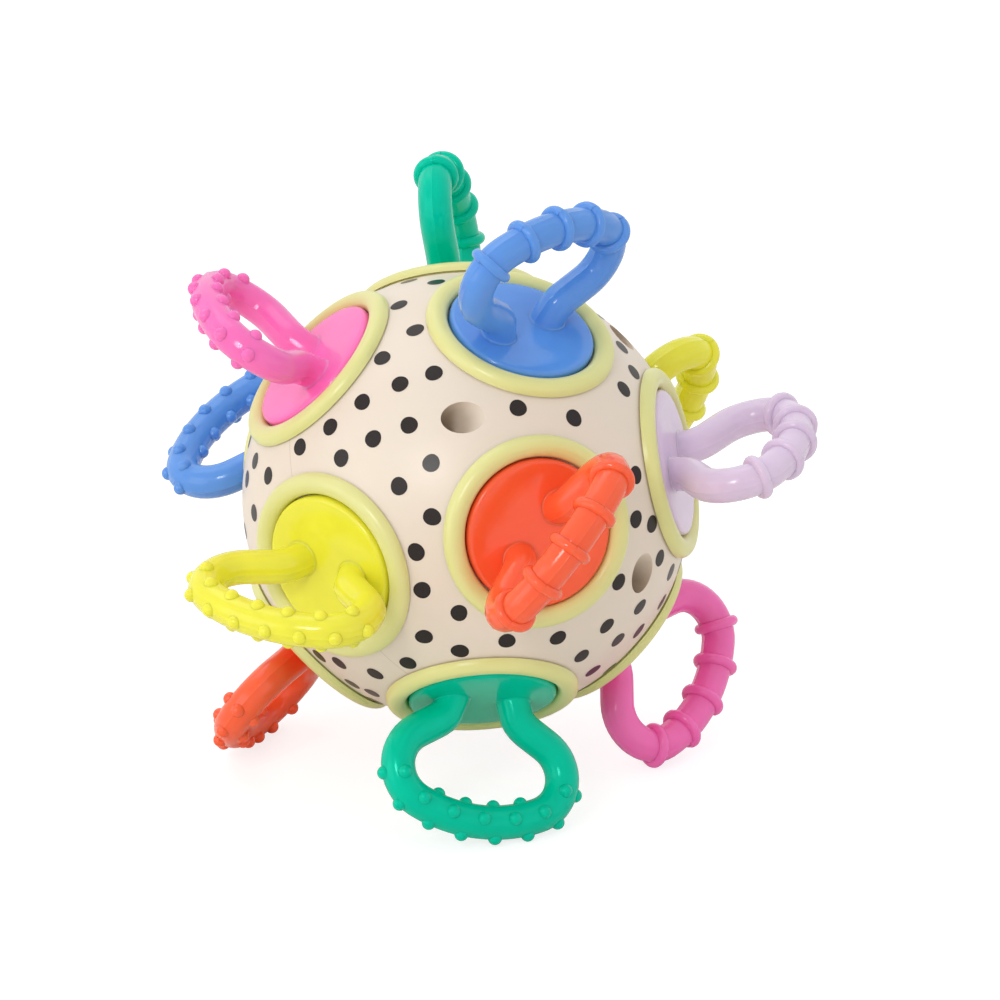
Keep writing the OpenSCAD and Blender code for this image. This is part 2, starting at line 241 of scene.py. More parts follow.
def add_noise(
    tree: bpy.types.NodeTree, size_mm: float, detail: float = 2.0, distortion: float = 0.0
) -> bpy.types.NodeSocket:
    """Adds noise on object coordinates.

    Args:
        tree: The node tree.
        size_mm: How large its patches are.
        detail: How many finer layers it has.
        distortion: How far the patches are drawn out.

    Returns:
        The noise, from 0 to 1.
    """
    place = add_node(tree, "ShaderNodeTexCoord")
    noise = add_node(
        tree,
        "ShaderNodeTexNoise",
        values={"Scale": 1 / (size_mm * MM), "Detail": detail, "Distortion": distortion},
        links={"Vector": place.outputs["Object"]},
    )
    return noise.outputs["Fac"]


def add_blend(
    tree: bpy.types.NodeTree, factor: bpy.types.NodeSocket, first: str, second: str
) -> bpy.types.NodeSocket:
    """Adds a blend of two colours.

    Args:
        tree: The node tree.
        factor: The share of the second colour.
        first: The first colour, as sRGB hex.
        second: The second colour, as sRGB hex.

    Returns:
        The blended colour.
    """
    blend = add_node(tree, "ShaderNodeMix", {"data_type": "RGBA"}, links={"Factor": factor})
    blend.inputs["A"].default_value = linear(first)
    blend.inputs["B"].default_value = linear(second)
    return blend.outputs["Result"]


def add_spread(
    tree: bpy.types.NodeTree, value: bpy.types.NodeSocket, middle: float, spread: float
) -> bpy.types.NodeSocket:
    """Adds a node that maps 0 to 1 evenly round a middle value.

    Args:
        tree: The node tree.
        value: What is mapped.
        middle: The result for 0.5.
        spread: How far the result goes to each side.

    Returns:
        The mapped value.
    """
    mapped = add_node(
        tree,
        "ShaderNodeMapRange",
        values={"To Min": middle - spread, "To Max": middle + spread},
        links={"Value": value},
    )
    return mapped.outputs["Result"]


def add_grain(tree: bpy.types.NodeTree, shader: bpy.types.Node, size_mm: float, strength: float) -> None:
    """Gives a shader's surface a fine grain.

    Args:
        tree: The node tree.
        shader: The shader node.
        size_mm: The grain's size.
        strength: How strongly it shows, from 0 to 1.
    """
    relief = add_node(
        tree,
        "ShaderNodeBump",
        values={"Strength": strength, "Distance": GRAIN_DEPTH_MM * MM},
        links={"Height": add_noise(tree, size_mm)},
    )
    tree.links.new(relief.outputs["Normal"], shader.inputs["Normal"])


@dataclass(frozen=True)
class MouldedShell:
    """Satin injection-moulded ABS of the shell."""

    colour: str = "#eadccb"
    cloud_colour: str = "#e6d8c7"
    cloud_mm: float = 18.0
    cloud_detail: float = 3.0
    seam_shade_colour: str = "#d3c5b4"
    seam_half_mm: float = 0.07
    roughness: float = 0.36
    ior: float = 1.52
    grain_mm: float = 0.5
    grain_strength: float = 0.05

    def material(self, stance: Stance) -> bpy.types.Material:
        """Makes the material.

        Args:
            stance: How the ball stands, which places the parting line.

        Returns:
            The material.
        """
        values = {"Roughness": self.roughness, "IOR": self.ior}
        made, tree, shader = blank_material("moulded_abs_cream", values)
        # A soft even sheen, a faint cloudiness in the colour, and a hairline of painted shade where the
        # halves meet, in place of the seam's groove.
        place = add_node(tree, "ShaderNodeTexCoord")
        own = add_node(
            tree,
            "ShaderNodeMapping",
            values={"Rotation": stance.matrix().inverted().to_euler()},
            links={"Vector": place.outputs["Object"]},
        )
        axes = add_node(tree, "ShaderNodeSeparateXYZ", links={"Vector": own.outputs["Vector"]})
        height = add_node(
            tree, "ShaderNodeMath", {"operation": "ABSOLUTE"}, links={"Value": axes.outputs["Z"]}
        )
        # The hairline is painted shade: a darker colour stands in for the shade in the groove between
        # the halves.
        seam_shade_mask = add_node(
            tree,
            "ShaderNodeMapRange",
            values={
                "From Min": self.seam_half_mm * MM,
                "From Max": 2 * self.seam_half_mm * MM,
                "To Min": 1.0,
                "To Max": 0.0,
            },
            links={"Value": height.outputs["Value"]},
        )
        cloud = add_noise(tree, self.cloud_mm, self.cloud_detail)
        tone = add_blend(tree, cloud, self.colour, self.cloud_colour)
        seam_shaded = add_node(
            tree,
            "ShaderNodeMix",
            {"data_type": "RGBA"},
            links={"Factor": seam_shade_mask.outputs["Result"], "A": tone},
        )
        seam_shaded.inputs["B"].default_value = linear(self.seam_shade_colour)
        tree.links.new(seam_shaded.outputs["Result"], shader.inputs["Base Color"])
        add_grain(tree, shader, self.grain_mm, self.grain_strength)
        return made


@dataclass(frozen=True)
class MouldedRim:
    """Satin injection-moulded ABS of the rims, a pale lime."""

    colour: str = "#e0de90"
    cloud_colour: str = "#e4e29a"
    cloud_mm: float = 14.0
    roughness: float = 0.28
    ior: float = 1.52
    sink_share: float = 0.1
    sink_mm: float = 1.0
    sink_colour: tuple[float, float, float] = (1.0, 0.9, 0.5)

    def material(self) -> bpy.types.Material:
        """Makes the material."""
        values = {
            "Roughness": self.roughness,
            "IOR": self.ior,
            "Subsurface Weight": self.sink_share,
            "Subsurface Radius": self.sink_colour,
            "Subsurface Scale": self.sink_mm * MM,
        }
        made, tree, shader = blank_material("moulded_abs_lime", values)
        # Smooth satin with a soft highlight along the crown, and slightly uneven in colour.
        tone = add_blend(tree, add_noise(tree, self.cloud_mm), self.colour, self.cloud_colour)
        tree.links.new(tone, shader.inputs["Base Color"])
        return made


@dataclass(frozen=True)
class SoftRubber:
    """Moulded thermoplastic rubber of a loop, glossy and a little translucent."""

    colour: Soft
    gloss: str = WHITE
    flow_mm: float = 9.0
    flow_detail: float = 3.0
    flow_distortion: float = 0.6
    tone_spread: float = 0.07
    roughness: float = 0.14
    roughness_spread: float = 0.05
    ior: float = 1.49
    specular: float = 0.45
    sink_share: float = 0.4
    sink_mm: float = 0.7
    sink_colour: tuple[float, float, float] = (1.0, 0.8, 0.7)
    grain_mm: float = 0.6
    grain_strength: float = 0.08

    def material(self) -> bpy.types.Material:
        """Makes the material."""
        values = {
            "IOR": self.ior,
            "Specular IOR Level": self.specular,
            "Specular Tint": linear(self.gloss),
            "Subsurface Weight": self.sink_share,
            "Subsurface Radius": self.sink_colour,
            "Subsurface Scale": self.sink_mm * MM,
        }
        made, tree, shader = blank_material(f"moulded_tpe_{self.colour.name.lower()}", values)
        # Light sinks in and softens the shade; the skin has faint flow marks and small highlights.
        flow = add_noise(tree, self.flow_mm, self.flow_detail, self.flow_distortion)
        tone = add_node(
            tree,
            "ShaderNodeHueSaturation",
            values={"Color": linear(self.colour.value)},
            links={"Value": add_spread(tree, flow, 1.0, self.tone_spread)},
        )
        tree.links.new(tone.outputs["Color"], shader.inputs["Base Color"])
        rough = add_spread(tree, flow, self.roughness, self.roughness_spread)
        tree.links.new(rough, shader.inputs["Roughness"])
        add_grain(tree, shader, self.grain_mm, self.grain_strength)
        return made


@dataclass(frozen=True)
class PrintedInk:
    """Pad-printed ink of the dots."""

    colour: str = "#17100e"
    speckle_colour: str = "#2c2320"
    speckle_mm: float = 0.35
    speckle_detail: float = 1.0
    roughness: float = 0.3
    ior: float = 1.5
    specular: float = 0.3

    def material(self) -> bpy.types.Material:
        """Makes the material."""
        values = {"Roughness": self.roughness, "IOR": self.ior, "Specular IOR Level": self.specular}
        made, tree, shader = blank_material("pad_printed_ink", values)
        # Near black with a weak sheen, and the fine speckle that a print leaves on moulded plastic.
        speckle = add_noise(tree, self.speckle_mm, self.speckle_detail)
        tone = add_blend(tree, speckle, self.colour, self.speckle_colour)
        tree.links.new(tone, shader.inputs["Base Color"])
        return made


@dataclass(frozen=True)
class UnseenPlastic:
    """Plain moulded ABS of the pieces inside."""

    colour: str = "#e0d3c1"
    roughness: float = 0.55
    grain_mm: float = 0.8
    grain_strength: float = 0.15

    def material(self) -> bpy.types.Material:
        """Makes the material."""
        values = {"Base Color": linear(self.colour), "Roughness": self.roughness}
        made, tree, shader = blank_material("moulded_abs_inner", values)
        # Left as it comes from the mould: duller than the outside, with a slight texture.
        add_grain(tree, shader, self.grain_mm, self.grain_strength)
        return made


@dataclass(frozen=True)
class ZincSteel:
    """Zinc-plated steel of the screws."""

    colour: str = "#b9bcc0"
    streak_mm: float = 1.5
    roughness: float = 0.335
    roughness_spread: float = 0.085

    def material(self) -> bpy.types.Material:
        """Makes the material."""
        values = {"Base Color": linear(self.colour), "Metallic": 1.0}
        made, tree, shader = blank_material("zinc_plated_steel", values)
        # Bright grey metal, a little streaked by the plating.
        streak = add_noise(tree, self.streak_mm)
        rough = add_spread(tree, streak, self.roughness, self.roughness_spread)
        tree.links.new(rough, shader.inputs["Roughness"])
        return made


def finished(
    bm: bmesh.types.BMesh, name: str, material: bpy.types.Material, sharp_above: float
) -> bpy.types.Object:
    """Turns a bmesh in row-frame metres into a smooth-shaded object at the origin.

    Args:
        bm: The mesh, which is freed.
        name: The piece's name.
        material: Its material.
        sharp_above: Angle over which an edge is shaded sharp, in degrees.

    Returns:
        The object.
    """
    mesh = bpy.data.meshes.new(name)
    bm.to_mesh(mesh)
    bm.free()
    mesh.polygons.foreach_set("use_smooth", [True] * len(mesh.polygons))
    mesh.set_sharp_from_angle(angle=math.radians(sharp_above))
    mesh.materials.append(material)
    made = bpy.data.objects.new(name, mesh)
    bpy.context.scene.collection.objects.link(made)
    log.info("%s: %d faces", name, len(mesh.polygons))
    return made


# The soft loops


@dataclass(frozen=True)
class Place:
    """A place on a loop's centreline: across the disc, out from its face, and the heading.

    The heading is in radians from straight out, towards the outside of the loop.
    """

    across: float
    out: float
    heading: float

    def matrix(self, slant: Matrix, level: float = 0.0) -> Matrix:
        """Gives the frame of a section: X outwards, Y out of the loop's plane, Z along the tube.

        Args:
            slant: The loop's own lean and sway.
            level: How far the section is turned level with the disc, from 0 to 1.

        Returns:
            A 4 by 4 matrix in the port's frame, with the disc's face at zero.
        """
        where = slant @ Vector((self.across, 0, self.out))
        free = (slant @ Matrix.Rotation(self.heading, 4, "Y")).to_quaternion()
        flat = turned("Y", 0 if self.across > 0 else -180).to_quaternion()
        turn = free.slerp(flat, level) if level > 0 else free
        return Matrix.Translation(where) @ turn.to_matrix().to_4x4()


@dataclass(frozen=True)
class LoopPath:
    """The loop's centreline, half of it as stretches that turn evenly, and the rest mirrored."""

    foot_half: float = 7.5
    foot_slant: float = 4.0
    bend_r: float = 7.6
    leg_slant: float = 58.5
    leg_len: float = 5.4
    shoulder_r: float = 9.3
    shoulder_end: float = 65.5

    def stretches(self) -> list[tuple[float, float]]:
        """Gives the length and the turn, in radians, of each stretch up to the top's middle."""
        foot = math.radians(self.foot_slant)
        leg = math.radians(self.leg_slant)
        end = math.radians(self.shoulder_end)
        firsts = [
            (self.bend_r * (leg - foot), leg - foot),
            (self.leg_len, 0.0),
            (self.shoulder_r * (leg + end), -(leg + end)),
        ]
        top_r = self._walk(firsts, sum(length for length, _ in firsts)).across / math.cos(end)
        return [*firsts, (top_r * (math.pi / 2 - end), end - math.pi / 2)]

    def half_length(self) -> float:
        """Gives the length from a foot to the middle of the top."""
        return sum(length for length, _ in self.stretches())

    def _walk(self, stretches: list[tuple[float, float]], distance: float) -> Place:
        """Walks along stretches from the foot.

        Args:
            stretches: Length and turn of each.
            distance: How far to walk, or less than zero for a place straight below the foot.

        Returns:
            The place reached.
        """
        across, out, heading = self.foot_half, 0.0, math.radians(self.foot_slant)
        if distance < 0:
            return Place(across + distance * math.sin(heading), distance * math.cos(heading), heading)
        for length, turn in stretches:
            step = min(distance, length)
            new = heading + turn * step / length
            if turn:
                radius = length / turn
                across += radius * (math.cos(heading) - math.cos(new))
                out += radius * (math.sin(new) - math.sin(heading))
            else:
                across += step * math.sin(heading)
                out += step * math.cos(heading)
            heading = new
            distance -= step
            if distance <= 0:
                break
        return Place(across, out, heading)

    def at(self, from_top: float) -> Place:
        """Gives the place at a distance from the middle of the top.

        Args:
            from_top: The distance, negative on the side where the path starts.

        Returns:
            The place.
        """
        here = self._walk(self.stretches(), self.half_length() - abs(from_top))
        if from_top <= 0:
            return here
        return Place(-here.across, here.out, -math.pi - here.heading)


@dataclass
class SoftLoop:
    """One soft moulding: a disc, its plug, and a ribbed or bumpy loop."""

    port: Port
    stance: Stance
    sizes: ShellSizes
    material: bpy.types.Material
    path: LoopPath = field(default_factory=LoopPath)
    tube_r: float = 3.94
    tube_sides: int = 48
    ridge_h: float = 0.09
    ridge_half_angle: float = 3.0
    fillet_r: float = 0.5
    # Angles of the fillet's rings, finest where it meets the disc
    fillet_angles: tuple[float, ...] = (0, 4, 10, 18, 28, 40, 54, 70, 90)
    foot_sink: float = 0.15
    level_len: float = 3.2
    level_gap: float = 0.4
    free_steps: int = 34
    ribs: int = 5
    rib_r: float = 1.25
    rib_proud: float = 1.35
    rib_pitch: float = 9.8
    rib_shift: float = 0.1
    rib_sides: int = 16
    rib_steps: int = 22
    bump_r: float = 1.65
    bump_proud: float = 1.3
    bump_pitch: float = 7.6
    bump_sides: int = 20
    bump_rings: int = 12
    # The outside row, from the top's middle: even on the outside, so closer along the centreline
    outer_bumps: tuple[float, ...] = (3.75, 11.2, 17.9, 23.7)
    # How many bumps the other rows have, and at which angle round the tube
    inner_rows: tuple[tuple[int, float], ...] = ((7, 90), (4, 180), (7, 270))
    disc_round: float = 1.1
    disc_dome: float = 0.15
    disc_chamfer: float = 0.2
    disc_steps: int = 96
    # Rings of the disc's face as shares of its flat radius, close together where it curves
    ring_shares: tuple[float, ...] = (0.97, 0.94, 0.91, 0.88, 0.85, 0.82, 0.79, 0.6, 0.4, 0.2, 0.0)
    crown_r: float = 12.8
    plug_r: float = 2.35
    plug_len: float = 8.95
    plug_lap: float = 0.5
    plug_steps: int = 32
    sharp_above: float = 38.0

    def build(self) -> bpy.types.Object:
        """Builds the moulding, stands it on its port and lets it ride with its handle.

        Returns:
            The piece.
        """
        bm = bmesh.new()
        self._add_tube(bm)
        if self.port.relief is Relief.RIBS:
            self._add_ribs(bm)
        else:
            self._add_bumps(bm)
        lift = Matrix.Translation((0, 0, self.sizes.face_h()))
        bmesh.ops.transform(bm, matrix=lift, verts=bm.verts)
        self._add_disc(bm)
        bmesh.ops.recalc_face_normals(bm, faces=bm.faces)
        place = self.port.matrix(self.stance) @ turned("Z", self.port.spin) @ Matrix.Scale(MM, 4)
        bmesh.ops.transform(bm, matrix=place, verts=bm.verts)
        piece = finished(bm, f"{self.port.name}_moulding", self.material, self.sharp_above)
        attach(piece, f"{self.port.name}_handle")
        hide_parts(f"{self.port.name}_loop")
        return piece

    def _half_sections(self, side: int) -> list[Matrix]:
        """Gives the tube's sections from one foot to the middle of the top.

        A section turns level with the disc towards the foot, and widens there into a fillet.

        Args:
            side: -1 for the foot where the path starts, or 1 for the other one.

        Returns:
            Matrices for a ring of radius 1, in the port's frame.
        """
        half = self.path.half_length()
        slant = self.port.slant()
        dome = self._dome(self.path.foot_half + self.tube_r)
        start = dome - self.path.at(side * half).matrix(slant).translation.z
        fillet = [self.fillet_r * (1 - math.cos(math.radians(angle))) for angle in self.fillet_angles]
        first = self.level_len + self.level_gap
        last = half - start
        free = [first + (last - first) * i / self.free_steps for i in range(self.free_steps + 1)]
        made = []
        for above in (-self.foot_sink, *fillet, *free):
            level = min(1.0, max(0.0, 1 - above / self.level_len))
            section = self.path.at(side * (last - above)).matrix(slant, level)
            rise = min(max(section.translation.z - dome, 0.0), self.fillet_r)
            flare = self.fillet_r - math.sqrt(self.fillet_r**2 - (self.fillet_r - rise) ** 2)
            made.append(section @ Matrix.Scale(self.tube_r + flare, 4))
        return made

    def _dome(self, radius: float) -> float:
        """Gives how far the disc is domed above its rim at a radius, flat where the feet stand."""
        edge = self.sizes.disc_r - self.disc_round
        share = max(0.0, (radius - self.crown_r) / (edge - self.crown_r))
        return self.disc_dome * (1 - share**2)

    def _add_tube(self, bm: bmesh.types.BMesh) -> None:
        """Sweeps the tube, with a fine moulding ridge along its outside and inside.

        Args:
            bm: The mesh to add to.
        """
        circle = bmesh.ops.create_circle(bm, cap_ends=True, segments=self.tube_sides, radius=1.0)
        ring = circle["verts"]
        step = 360 / self.tube_sides
        for vert in ring:
            angle = math.degrees(math.atan2(vert.co.y, vert.co.x))
            off = math.remainder(angle, 180)
            if abs(off) < 0.5 * step:
                vert.co *= 1 + self.ridge_h / self.tube_r
            elif abs(off) < 1.5 * step:
                vert.co = turned("Z", math.copysign(self.ridge_half_angle, off) - off) @ vert.co
        edges = list({edge for vert in ring for edge in vert.link_edges})
        sections = [*self._half_sections(-1), *reversed(self._half_sections(1)[:-1])]
        bmesh.ops.transform(bm, matrix=sections[0], verts=ring)
        for before, after in pairwise(sections):
            grown = bmesh.ops.extrude_edge_only(bm, edges=edges)["geom"]
            ring = [item for item in grown if isinstance(item, bmesh.types.BMVert)]
            drawn = [item for item in grown if isinstance(item, bmesh.types.BMEdge)]
            edges = [edge for edge in drawn if set(ring).issuperset(edge.verts)]
            bmesh.ops.transform(bm, matrix=after @ before.inverted(), verts=ring)
        bmesh.ops.contextual_create(bm, geom=edges)

    def _add_ribs(self, bm: bmesh.types.BMesh) -> None:
        """Adds the ribs, each in two halves that miss each other a little at the moulding ridge.

        Args:
            bm: The mesh to add to.
        """
        rib_at = self.tube_r + self.rib_proud - self.rib_r
        for number in range(self.ribs):
            along = (number - (self.ribs - 1) / 2) * self.rib_pitch
            frame_here = self.path.at(along).matrix(self.port.slant())
            for side in (1, -1):
                shape = Matrix.Translation((rib_at, 0, side * self.rib_shift)) @ turned("X", 90)
                ring = bmesh.ops.create_circle(
                    bm, cap_ends=True, segments=self.rib_sides, radius=self.rib_r, matrix=shape
                )["verts"]
                edges = {edge for vert in ring for edge in vert.link_edges}
                caps = {face for vert in ring for face in vert.link_faces}
                spun = bmesh.ops.spin(
                    bm,
                    geom=[*ring, *edges, *caps],
                    cent=(0, 0, 0),
                    axis=(0, 0, 1),
                    dvec=(0, 0, 0),
                    angle=side * math.pi,
                    steps=self.rib_steps,
                )
                ends = {item for item in spun["geom_last"] if isinstance(item, bmesh.types.BMVert)}
                grown = ends.union(ring)
                front = set(grown)
                while front:
                    near = {edge.other_vert(vert) for vert in front for edge in vert.link_edges}
                    front = near - grown
                    grown |= front
                bmesh.ops.transform(bm, matrix=frame_here, verts=list(grown))

    def _add_bumps(self, bm: bmesh.types.BMesh) -> None:
        """Adds the four rows of round bumps.

        Args:
            bm: The mesh to add to.
        """
        out = Matrix.Translation((self.tube_r + self.bump_proud - self.bump_r, 0, 0))
        rows = {0: [sign * along for along in self.outer_bumps for sign in (-1, 1)]}
        for count, side in self.inner_rows:
            rows[side] = [(number - (count - 1) / 2) * self.bump_pitch for number in range(count)]
        for side, places in rows.items():
            for along in places:
                frame_here = self.path.at(along).matrix(self.port.slant())
                bmesh.ops.create_uvsphere(
                    bm,
                    u_segments=self.bump_sides,
                    v_segments=self.bump_rings,
                    radius=self.bump_r,
                    matrix=frame_here @ turned("Z", side) @ out @ turned("Y", 90),
                )

    def _add_disc(self, bm: bmesh.types.BMesh) -> None:
        """Spins the soft disc, domed and with a rounded edge, and the plug under it.

        Args:
            bm: The mesh to add to.
        """
        face, radius, round_r = self.sizes.face_h(), self.sizes.disc_r, self.disc_round
        base = face - self.sizes.disc_t
        flat_r = radius - round_r
        outline = [(0.0, base), (radius - self.disc_chamfer, base), (radius, base + self.disc_chamfer)]
        for angle in range(0, 91, 15):
            x = flat_r + round_r * math.cos(math.radians(angle))
            z = face - round_r + round_r * math.sin(math.radians(angle))
            outline.append((x, z))
        for share in self.ring_shares:
            outline.append((flat_r * share, face + self._dome(flat_r * share)))
        spin_outline(bm, outline, self.disc_steps)
        tip, root = base - self.plug_len, base + self.plug_lap
        plug = [(0.0, tip), (self.plug_r, tip), (self.plug_r, root), (0.0, root)]
        spin_outline(bm, plug, self.plug_steps)


def spin_outline(bm: bmesh.types.BMesh, outline: list[tuple[float, float]], steps: int) -> None:
    """Spins an outline of radius and height about Z into a closed solid of revolution.

    Args:
        bm: The mesh to add to.
        outline: Radius and height of each point, from the axis to the axis.
        steps: How many steps make a full turn.
    """
    verts = [bm.verts.new((radius, 0, height)) for radius, height in outline]
    edges = [bm.edges.new(pair) for pair in pairwise(verts)]
    before = set(bm.verts) - set(verts)
    bmesh.ops.spin(
        bm,
        geom=[*verts, *edges],
        cent=(0, 0, 0),
        axis=(0, 0, 1),
        dvec=(0, 0, 0),
        angle=2 * math.pi,
        steps=steps,
        use_merge=True,
    )
    new = [vert for vert in bm.verts if vert not in before]
    bmesh.ops.remove_doubles(bm, verts=new, dist=MERGE_MM)


# The ball


@dataclass
class Shell:
    """The two halves of the shell, their screws, rims and inner pieces, kept from the CAD model."""

    stance: Stance

    def dress(self) -> None:
        """Gives every CAD node that shows its finish."""
        shell = MouldedShell().material(self.stance)
        rim = MouldedRim().material()
        inner = UnseenPlastic().material()
        steel = ZincSteel().material()
        finishes = {"shell_upper": shell, "shell_lower": shell, "shell_screws": steel}
        for port in PORTS:
            finishes[f"{port.name}_bezel"] = rim
            finishes[f"{port.name}_hub"] = inner
            finishes[f"{port.name}_cup"] = inner
        for name, material in finishes.items():
            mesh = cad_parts[name].data
            mesh.materials.clear()
            mesh.materials.append(material)
        log.info("dressed %d CAD nodes", len(finishes))


@dataclass
class PrintedDots:
    """The dots printed on the shell: those seen, and a like scatter on the side that isn't."""

    stance: Stance
    sizes: ShellSizes
    dot_r: float = 2.05
    proud: float = 0.03
    sides: int = 20
    # Angles at the ball's centre, in degrees, that keep the scatter apart from other things
    clear_of_port: float = 28.0
    clear_of_well: float = 8.0
    apart: float = 8.6
    tries: int = 20000
    seed: int = 12
    # How far a dot may be out of round, as shares of its radius
    oval_share: float = 0.06
    lobe_share: float = 0.02
    sharp_above: float = 60.0
    # Towards the camera, in the ball's own frame
    seen_from: tuple[float, float, float] = (0.7052, -0.0121, 0.7089)
    # A scattered dot's direction has less than this along that one
    unseen_below: float = 0.1
    # Latitude and longitude of the dots that the photograph shows, in degrees
    seen: tuple[tuple[float, float], ...] = (
        (16.3, 254.5), (13.9, 267.3), (24.6, 268.8), (23.2, 284.5), (33.0, 295.5), (27.2, 306.8),
        (33.6, 316.3), (41.9, 312.2), (23.7, 320.7), (36.2, 330.5), (14.3, 325.7), (26.5, 332.4),
        (3.9, 328.1), (16.9, 335.1), (40.0, 344.3), (30.5, 347.9), (35.3, 0.2), (27.3, 7.0),
        (22.7, 16.9), (25.7, 28.5), (13.8, 28.0), (17.2, 37.6), (3.5, 32.1), (26.9, 45.4),
        (32.7, 59.7), (-9.1, 31.2), (-18.4, 24.9), (-25.9, 21.8), (-20.5, 38.7), (-24.7, 34.3),
        (-18.3, 323.6), (-25.8, 325.6), (-10.5, 330.9), (-22.1, 337.1), (63.8, 325.4), (78.7, 328.6),
        (58.9, 213.1), (66.4, 203.6), (76.5, 209.4), (75.8, 97.1), (65.3, 85.7), (61.6, 98.9),
        (50.5, 102.0), (49.6, 76.2), (40.9, 111.3), (39.1, 91.9), (31.5, 108.7), (36.8, 77.0),
        (28.3, 97.2), (30.2, 86.0), (27.2, 72.9), (19.2, 83.1),
    )

    def build(self) -> bpy.types.Object:
        """Builds all dots as one thin piece on the shell.

        Returns:
            The piece.
        """
        rng = random.Random(self.seed)
        bm = bmesh.new()
        for where in self._places(rng):
            self._add_dot(bm, where, rng)
        bmesh.ops.recalc_face_normals(bm, faces=bm.faces)
        place = self.stance.matrix() @ Matrix.Scale(MM, 4)
        bmesh.ops.transform(bm, matrix=place, verts=bm.verts)
        piece = finished(bm, "printed_dots", PrintedInk().material(), self.sharp_above)
        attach(piece, ROOT_BODY)
        return piece

    def _places(self, rng: random.Random) -> list[Vector]:
        """Gives the unit vector of every dot.

        Args:
            rng: The seeded source of the hidden side's scatter.

        Returns:
            Unit vectors in the ball's own frame.
        """
        made = [direction(90 - latitude, longitude) for latitude, longitude in self.seen]
        ports = [direction(port.polar, port.azimuth) for port in PORTS]
        wells = [direction(self.sizes.well_polar, azimuth) for azimuth in self.sizes.well_azimuths]
        camera = Vector(self.seen_from)
        near = math.cos(math.radians(self.apart))
        port_near = math.cos(math.radians(self.clear_of_port))
        well_near = math.cos(math.radians(self.clear_of_well))
        for _ in range(self.tries):
            trial = direction(math.degrees(math.acos(rng.uniform(-1, 1))), rng.uniform(0, 360))
            if (
                trial.dot(camera) < self.unseen_below
                and all(trial.dot(port) < port_near for port in ports)
                and all(trial.dot(well) < well_near for well in wells)
                and all(trial.dot(dot) < near for dot in made)
            ):
                made.append(trial)
        return made

    def _add_dot(self, bm: bmesh.types.BMesh, where: Vector, rng: random.Random) -> None:
        """Adds one dot, slightly out of round, that follows the sphere.

        Args:
            bm: The mesh to add to.
            where: Unit vector of its middle.
            rng: The seeded source of its unevenness.
        """
        turn = where.to_track_quat("Z", "Y").to_matrix().to_4x4()
        made = bmesh.ops.create_circle(
            bm, cap_ends=True, cap_tris=True, segments=self.sides, radius=self.dot_r
        )
        stretch = rng.uniform(-self.oval_share, self.oval_share)
        phase = rng.uniform(0, math.tau)
        for vert in made["verts"]:
            angle = math.atan2(vert.co.y, vert.co.x)
            oval = stretch * math.cos(2 * angle + phase)
            lobes = self.lobe_share * math.cos(3 * angle - phase)
            vert.co *= 1 + oval + lobes
            vert.co.z = self.sizes.shell_r
            vert.co = turn @ vert.co
            vert.co *= (self.sizes.shell_r + self.proud) / vert.co.length


def direction(polar: float, azimuth: float) -> Vector:
    """Gives a unit vector.

    Args:
        polar: Angle from Z, in degrees.
        azimuth: Angle about Z from X, in degrees.

    Returns:
        The vector.
    """
    return turned("Z", azimuth) @ turned("Y", polar) @ Vector((0, 0, 1))


# The studio


@dataclass(frozen=True)
class Lamp:
    """A square soft lamp that faces the ball: its name, place, side and power in watts."""

    name: str
    at: tuple[float, float, float]
    side: float
    watts: float

    def build(self) -> None:
        """Builds the lamp."""
        lamp = bpy.data.lights.new(self.name, "AREA")
        lamp.energy = self.watts
        lamp.size = self.side * MM
        holder = bpy.data.objects.new(self.name, lamp)
        holder.location = Vector(self.at) * MM
        holder.rotation_euler = Vector(self.at).to_track_quat("Z", "Y").to_euler()
        bpy.context.scene.collection.objects.link(holder)


